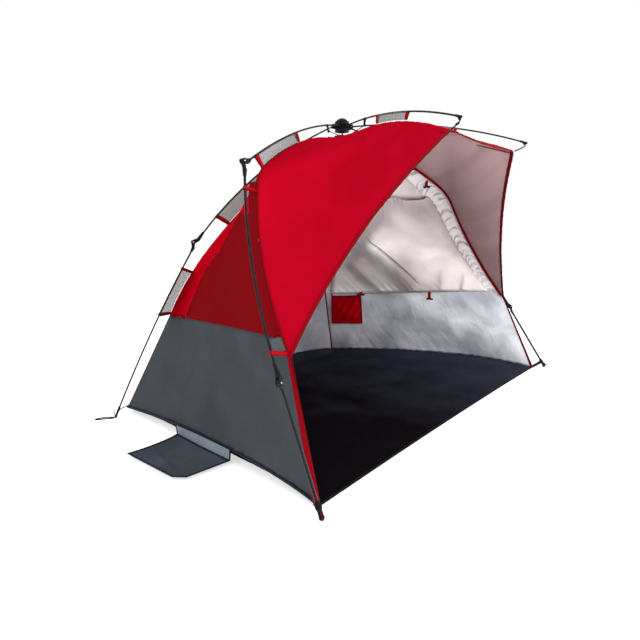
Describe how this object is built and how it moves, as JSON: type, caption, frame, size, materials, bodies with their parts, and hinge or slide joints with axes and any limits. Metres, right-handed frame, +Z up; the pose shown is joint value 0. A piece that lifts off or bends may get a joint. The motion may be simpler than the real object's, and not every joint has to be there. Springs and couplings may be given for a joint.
{
  "type": "pop up tent",
  "caption": "Pop-up beach tent: half-dome shelter with floor, silver lining, side windows and awning, held by a folding umbrella-hub frame with hinged elbows and knees.",
  "frame": {"origin": "on the ground straight below the hub, in the plane of the floor sheet's underside", "axes": "+Z up, +X along the width with the occupant's right-hand wall at +X as seen from the mouth looking in, -Y out of the mouth"},
  "size_m": [2.436, 1.3594, 1.3321],
  "materials": {
    "hub_plastic": "moulded black plastic, satin",
    "hinge_steel": "polished rivet heads and pins",
    "pole_black": "black coated rod",
    "shin_composite": "black glass-fibre tube with a wound highlight",
    "hinge_plastic": "moulded black nylon",
    "foot_rubber": "matt black",
    "canopy_fabric": "red coated polyester, silver inside",
    "wall_fabric": "charcoal coated polyester, silver inside",
    "floor_fabric": "black woven polyethylene",
    "flap_fabric": "red coated polyester, silver towards the inside",
    "sand_fabric": "charcoal polyester with a dark binding",
    "pocket_fabric": "red mesh with a dark red binding",
    "sleeve_mesh": "light grey open mesh",
    "strap_webbing": "dark red webbing",
    "elastic_cord": "black shock cord"
  },
  "bodies": {
    "root": {"hub_crown": "hub_plastic", "hub_cap": "hub_plastic", "hub_pins": "hinge_steel", "canopy_roof": "canopy_fabric", "wing_left": "canopy_fabric", "wing_right": "canopy_fabric", "wall_left": "wall_fabric", "wall_right": "wall_fabric", "wall_rear": "wall_fabric", "floor": "floor_fabric", "wall_pocket": "pocket_fabric", "pole_sleeves": "sleeve_mesh", "corner_straps": "strap_webbing", "tip_cord_left": "elastic_cord", "tip_cord_right": "elastic_cord"},
    "arm_awning_left": {"rod_awning_left": "pole_black", "bracket_awning_left": "hinge_plastic", "tip_awning_left": "hinge_plastic"},
    "strut_awning_left": {"strut_awning_left": "pole_black"},
    "arm_front_left": {"rod_front_left": "pole_black", "bracket_front_left": "hinge_plastic", "elbow_fork_front_left": "hinge_plastic"},
    "strut_front_left": {"strut_front_left": "pole_black"},
    "arm_rear_left": {"rod_rear_left": "pole_black", "bracket_rear_left": "hinge_plastic", "elbow_fork_rear_left": "hinge_plastic"},
    "strut_rear_left": {"strut_rear_left": "pole_black"},
    "leg_front_left": {"elbow_blade_front_left": "hinge_plastic", "leg_front_left": "pole_black", "knee_fork_left": "hinge_plastic"},
    "shin_left": {"shin_left": "shin_composite", "foot_front_left": "foot_rubber"},
    "leg_rear_left": {"elbow_blade_rear_left": "hinge_plastic", "leg_rear_left": "pole_black", "foot_rear_left": "foot_rubber"},
    "arm_awning_right": {"rod_awning_right": "pole_black", "bracket_awning_right": "hinge_plastic", "tip_awning_right": "hinge_plastic"},
    "strut_awning_right": {"strut_awning_right": "pole_black"},
    "arm_front_right": {"rod_front_right": "pole_black", "bracket_front_right": "hinge_plastic", "elbow_fork_front_right": "hinge_plastic"},
    "strut_front_right": {"strut_front_right": "pole_black"},
    "arm_rear_right": {"rod_rear_right": "pole_black", "bracket_rear_right": "hinge_plastic", "elbow_fork_rear_right": "hinge_plastic"},
    "strut_rear_right": {"strut_rear_right": "pole_black"},
    "leg_front_right": {"elbow_blade_front_right": "hinge_plastic", "leg_front_right": "pole_black", "knee_fork_right": "hinge_plastic"},
    "shin_right": {"shin_right": "shin_composite", "foot_front_right": "foot_rubber"},
    "leg_rear_right": {"elbow_blade_rear_right": "hinge_plastic", "leg_rear_right": "pole_black", "foot_rear_right": "foot_rubber"},
    "runner": {"runner": "hub_plastic"},
    "sand_flap_left": {"sand_flap_left": "sand_fabric"},
    "window_flap_left": {"window_flap_left": "flap_fabric"},
    "sand_flap_right": {"sand_flap_right": "sand_fabric"},
    "window_flap_right": {"window_flap_right": "flap_fabric"}
  },
  "joints": [
    {"name": "arm_awning_left_swing", "type": "hinge", "parent": "root", "child": "arm_awning_left", "pos_m": [-0.02071, -0.03995, 1.292], "axis": [0.8878, -0.4602, 0], "range_deg": [0, 83.71]},
    {"name": "strut_awning_left_swing", "type": "hinge", "parent": "runner", "child": "strut_awning_left", "pos_m": [-0.01565, -0.03019, 1.245], "axis": [-0.8878, 0.4602, 0], "range_deg": [0, 77.89]},
    {"name": "fold", "type": "hinge", "parent": "root", "child": "arm_front_left", "pos_m": [-0.04366, -0.01089, 1.292], "axis": [0.2419, -0.9703, 0], "range_deg": [0, 74.04], "deforming": ["canopy_roof", "wing_left", "wing_right", "wall_left", "wall_right", "wall_rear", "floor", "wall_pocket", "pole_sleeves", "corner_straps", "tip_cord_left", "tip_cord_right", "window_flap_left", "window_flap_right", "sand_flap_left", "sand_flap_right"]},
    {"name": "strut_front_left_swing", "type": "hinge", "parent": "runner", "child": "strut_front_left", "pos_m": [-0.03299, -0.00822, 1.245], "axis": [-0.2419, 0.9703, 0], "range_deg": [0, 88.5]},
    {"name": "arm_rear_left_swing", "type": "hinge", "parent": "root", "child": "arm_rear_left", "pos_m": [-0.03816, 0.02385, 1.292], "axis": [-0.5299, -0.848, 0], "range_deg": [0, 50.83]},
    {"name": "strut_rear_left_swing", "type": "hinge", "parent": "runner", "child": "strut_rear_left", "pos_m": [-0.02883, 0.01802, 1.245], "axis": [0.5299, 0.848, 0], "range_deg": [0, 102.76]},
    {"name": "elbow_front_left_fold", "type": "hinge", "parent": "arm_front_left", "child": "leg_front_left", "pos_m": [-0.95518, -0.23603, 1.03377], "axis": [-0.1607, 0.9722, -0.1704], "range_deg": [0, 223.2]},
    {"name": "knee_left_fold", "type": "hinge", "parent": "leg_front_left", "child": "shin_left", "pos_m": [-1.09934, -0.49629, 0.35418], "axis": [-0.2943, 0.851, -0.435], "range_deg": [0, 172.17]},
    {"name": "elbow_rear_left_fold", "type": "hinge", "parent": "arm_rear_left", "child": "leg_rear_left", "pos_m": [-0.60978, 0.38103, 0.75757], "axis": [0.5299, 0.848, 0], "range_deg": [0, 180.46]},
    {"name": "arm_awning_right_swing", "type": "hinge", "parent": "root", "child": "arm_awning_right", "pos_m": [0.02071, -0.03995, 1.292], "axis": [0.8878, 0.4602, 0], "range_deg": [0, 83.71]},
    {"name": "strut_awning_right_swing", "type": "hinge", "parent": "runner", "child": "strut_awning_right", "pos_m": [0.01565, -0.03019, 1.245], "axis": [-0.8878, -0.4602, 0], "range_deg": [0, 77.89]},
    {"name": "arm_front_right_swing", "type": "hinge", "parent": "root", "child": "arm_front_right", "pos_m": [0.04366, -0.01089, 1.292], "axis": [0.2419, 0.9703, 0], "range_deg": [0, 74.04]},
    {"name": "strut_front_right_swing", "type": "hinge", "parent": "runner", "child": "strut_front_right", "pos_m": [0.03299, -0.00822, 1.245], "axis": [-0.2419, -0.9703, 0], "range_deg": [0, 88.5]},
    {"name": "arm_rear_right_swing", "type": "hinge", "parent": "root", "child": "arm_rear_right", "pos_m": [0.03816, 0.02385, 1.292], "axis": [-0.5299, 0.848, 0], "range_deg": [0, 50.83]},
    {"name": "strut_rear_right_swing", "type": "hinge", "parent": "runner", "child": "strut_rear_right", "pos_m": [0.02883, 0.01802, 1.245], "axis": [0.5299, -0.848, 0], "range_deg": [0, 102.76]},
    {"name": "elbow_front_right_fold", "type": "hinge", "parent": "arm_front_right", "child": "leg_front_right", "pos_m": [0.95518, -0.23603, 1.03377], "axis": [-0.1607, -0.9722, 0.1704], "range_deg": [0, 223.2]},
    {"name": "knee_right_fold", "type": "hinge", "parent": "leg_front_right", "child": "shin_right", "pos_m": [1.09934, -0.49629, 0.35418], "axis": [-0.2943, -0.851, 0.435], "range_deg": [0, 172.17]},
    {"name": "elbow_rear_right_fold", "type": "hinge", "parent": "arm_rear_right", "child": "leg_rear_right", "pos_m": [0.60978, 0.38103, 0.75757], "axis": [0.5299, -0.848, 0], "range_deg": [0, 180.46]},
    {"name": "runner_slide", "type": "slide", "parent": "root", "child": "runner", "axis": [0, 0, -1], "range_m": [0, 0.27]},
    {"name": "sand_flap_left_lift", "type": "hinge", "parent": "root", "child": "sand_flap_left", "pos_m": [-0.9655, -0.0125, 0], "axis": [0.2225, 0.9749, 0], "range_deg": [0, 80]},
    {"name": "window_flap_left_roll", "type": "slide", "parent": "root", "child": "window_flap_left", "axis": [0, 0, -1], "range_m": [0, 0.35], "deforming": ["window_flap_left"]},
    {"name": "sand_flap_right_lift", "type": "hinge", "parent": "root", "child": "sand_flap_right", "pos_m": [0.9655, -0.0125, 0], "axis": [0.2225, -0.9749, 0], "range_deg": [0, 80]},
    {"name": "window_flap_right_roll", "type": "slide", "parent": "root", "child": "window_flap_right", "axis": [0, 0, -1], "range_m": [0, 0.35], "deforming": ["window_flap_right"]}
  ],
  "couplings": [
    {"joint": "arm_awning_left_swing", "follows": "fold", "ratio": 1.1306},
    {"joint": "strut_awning_left_swing", "follows": "fold", "ratio": 1.052},
    {"joint": "strut_front_left_swing", "follows": "fold", "ratio": 1.1953},
    {"joint": "arm_rear_left_swing", "follows": "fold", "ratio": 0.68651},
    {"joint": "strut_rear_left_swing", "follows": "fold", "ratio": 1.3879},
    {"joint": "elbow_front_left_fold", "follows": "fold", "ratio": 3.0147},
    {"joint": "knee_left_fold", "follows": "fold", "ratio": 2.3254},
    {"joint": "elbow_rear_left_fold", "follows": "fold", "ratio": 2.4374},
    {"joint": "arm_awning_right_swing", "follows": "fold", "ratio": 1.1306},
    {"joint": "strut_awning_right_swing", "follows": "fold", "ratio": 1.052},
    {"joint": "arm_front_right_swing", "follows": "fold", "ratio": 1},
    {"joint": "strut_front_right_swing", "follows": "fold", "ratio": 1.1953},
    {"joint": "arm_rear_right_swing", "follows": "fold", "ratio": 0.68651},
    {"joint": "strut_rear_right_swing", "follows": "fold", "ratio": 1.3879},
    {"joint": "elbow_front_right_fold", "follows": "fold", "ratio": 3.0147},
    {"joint": "knee_right_fold", "follows": "fold", "ratio": 2.3254},
    {"joint": "elbow_rear_right_fold", "follows": "fold", "ratio": 2.4374},
    {"joint": "runner_slide", "follows": "fold", "m_per_rad": 0.20894}
  ]
}
